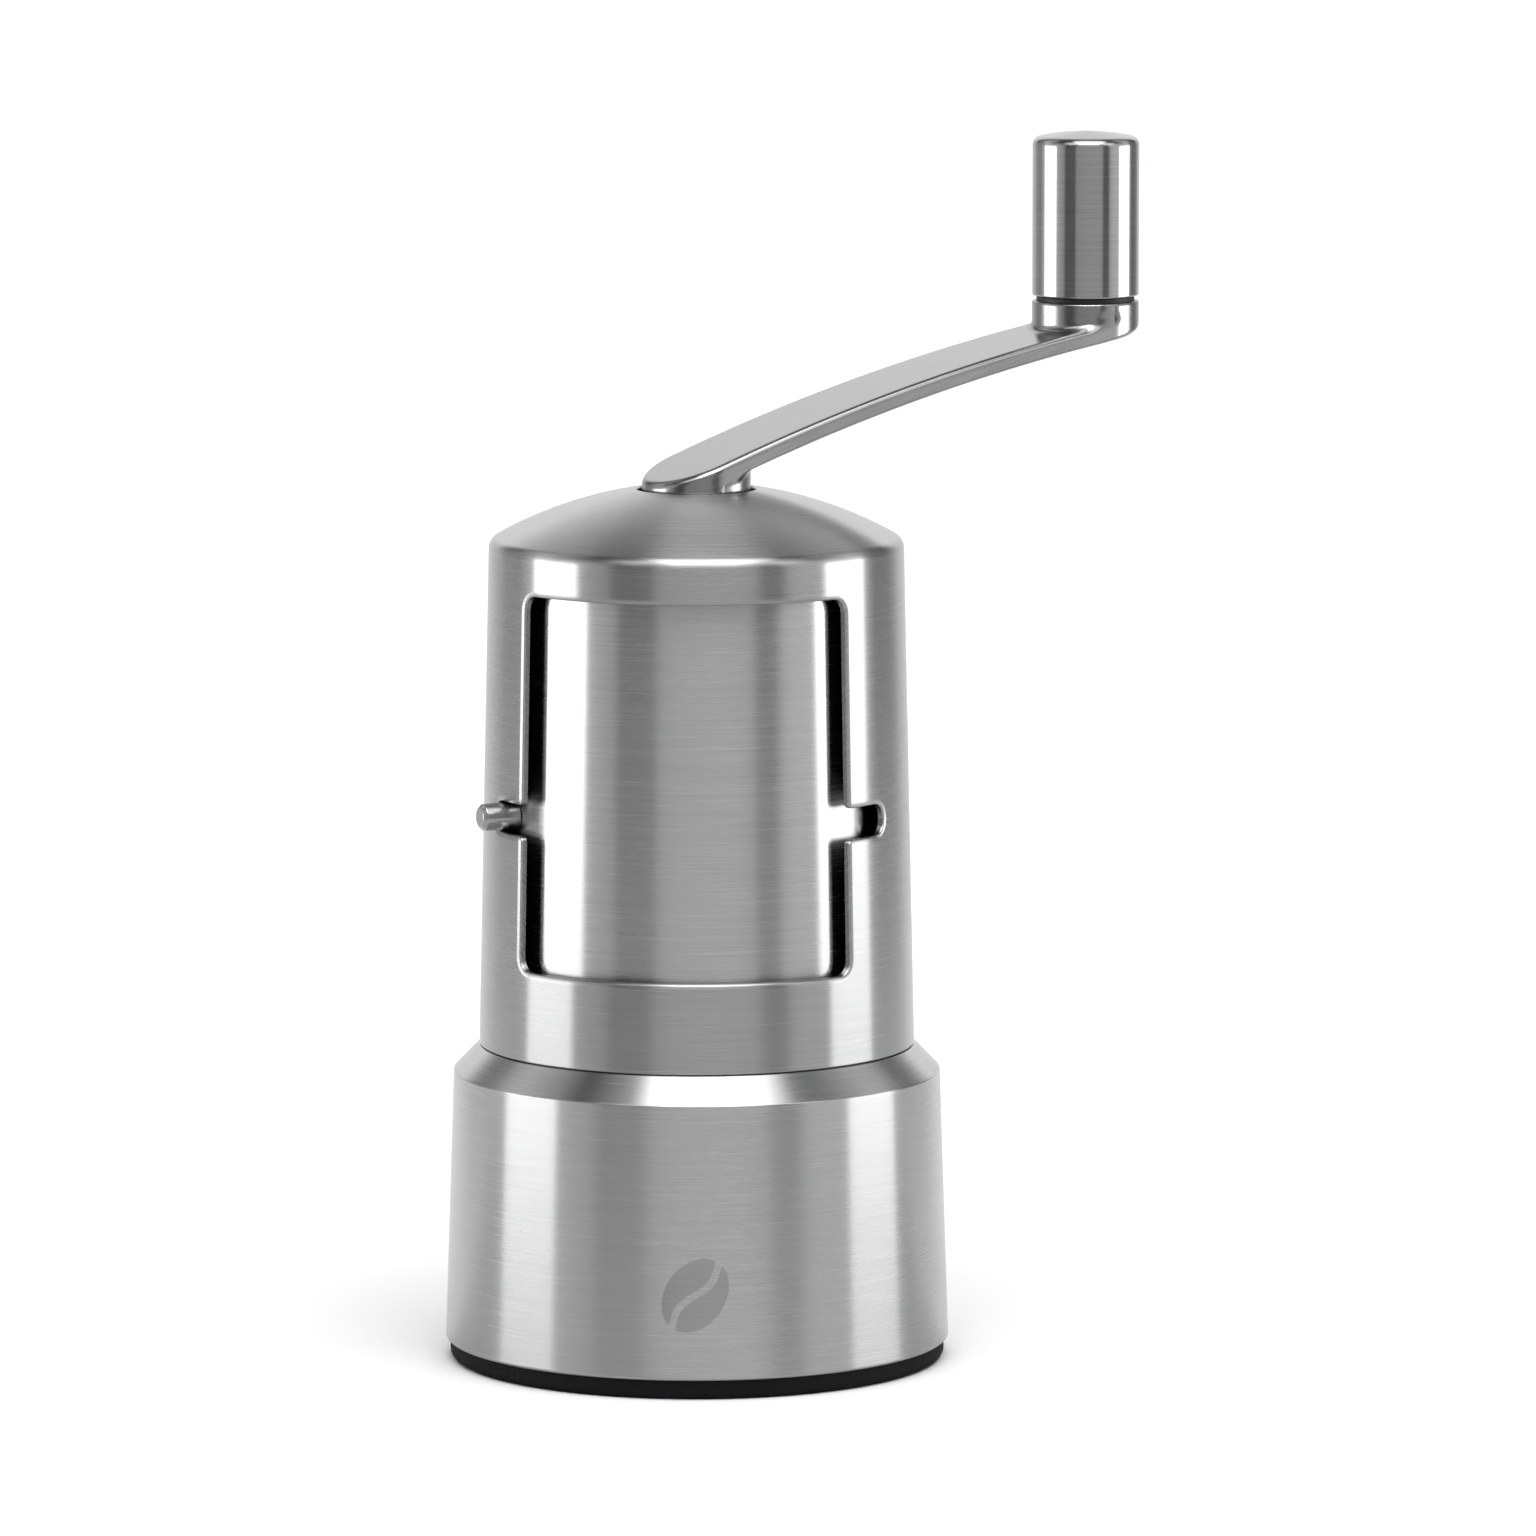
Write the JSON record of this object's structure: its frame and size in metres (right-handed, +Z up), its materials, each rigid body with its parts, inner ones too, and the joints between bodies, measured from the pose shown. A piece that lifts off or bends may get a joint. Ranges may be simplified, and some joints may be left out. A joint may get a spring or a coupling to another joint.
{
  "type": "hand crank coffee grinder",
  "caption": "Cylindrical steel hand mill for coffee beans: domed upper body with a turning shutter over its filling window, curved crank with a round knob, and a pull-off grounds cup.",
  "frame": {"origin": "centre of the foot's flat underside, on the mill's axis", "axes": "+Z up along the mill's axis; -Y towards the middle of the filling window; +X to the right of someone facing the window"},
  "size_m": [0.1079, 0.0915, 0.1923],
  "materials": {
    "cup_steel": "brushed round the axis",
    "shell_steel": "brushed round the axis",
    "sleeve_steel": "brushed round the axis",
    "arm_steel": "brushed along the arm, satin edges",
    "knob_steel": "brushed round the axis",
    "peg_steel": "turned",
    "shaft_steel": "turned",
    "hardware_steel": "satin",
    "foot_rubber": "matt",
    "seal_rubber": "matt",
    "black_plastic": "fine grain",
    "dark_plastic": "fine grain",
    "white_plastic": "smooth low-friction plastic",
    "bush_brass": "turned",
    "burr_ceramic": "fine matt ceramic"
  },
  "bodies": {
    "base": {"base_foot": "foot_rubber", "grounds_cup": "cup_steel", "cup_neck_ring": "black_plastic"},
    "housing": {"outer_shell": "shell_steel", "body_collar": "black_plastic", "seal_ring": "seal_rubber", "lower_glide_ring": "white_plastic", "upper_glide_ring": "white_plastic", "top_bearing_plate": "dark_plastic", "top_bush": "bush_brass", "hopper_funnel": "dark_plastic", "lower_bush": "bush_brass", "burr_housing": "black_plastic", "ring_burr": "burr_ceramic", "housing_screws": "hardware_steel"},
    "shutter": {"shutter_sleeve": "sleeve_steel", "shutter_peg": "peg_steel", "peg_nut": "hardware_steel"},
    "crank": {"crank_arm": "arm_steel", "drive_shaft": "shaft_steel", "thrust_washer": "hardware_steel", "shaft_clip": "hardware_steel", "spring_seat": "hardware_steel", "burr_spring": "shaft_steel", "knob_axle": "shaft_steel", "knob_washer": "black_plastic"},
    "knob": {"knob_shell": "knob_steel", "knob_bush": "dark_plastic"},
    "burr": {"burr_carrier": "dark_plastic", "cone_burr": "burr_ceramic"},
    "adjuster": {"adjusting_wheel": "dark_plastic", "threaded_insert": "bush_brass"}
  },
  "joints": [
    {"name": "housing_lift", "type": "slide", "parent": "base", "child": "housing", "axis": [0, 0, 1], "range_m": [0, 0.06]},
    {"name": "crank_turn", "type": "hinge", "parent": "housing", "child": "crank", "pos_m": [0, 0, 0.13], "axis": [0, 0, 1], "continuous": true},
    {"name": "knob_spin", "type": "hinge", "parent": "crank", "child": "knob", "pos_m": [0.0593, 0.04292, 0.178], "axis": [0, 0, 1], "continuous": true},
    {"name": "shutter_turn", "type": "hinge", "parent": "housing", "child": "shutter", "pos_m": [0, 0, 0.0883], "axis": [0, 0, 1], "range_deg": [0, 123]},
    {"name": "burr_height", "type": "slide", "parent": "crank", "child": "burr", "axis": [0, 0, 1], "range_m": [-0.0005, 0.0005], "deforming": ["burr_spring"]},
    {"name": "grind_adjust", "type": "hinge", "parent": "burr", "child": "adjuster", "pos_m": [0, 0, 0.023], "axis": [0, 0, 1], "range_deg": [-185, 185]}
  ],
  "couplings": [
    {"joint": "grind_adjust", "follows": "burr_height", "rad_per_m": 6283.2}
  ]
}
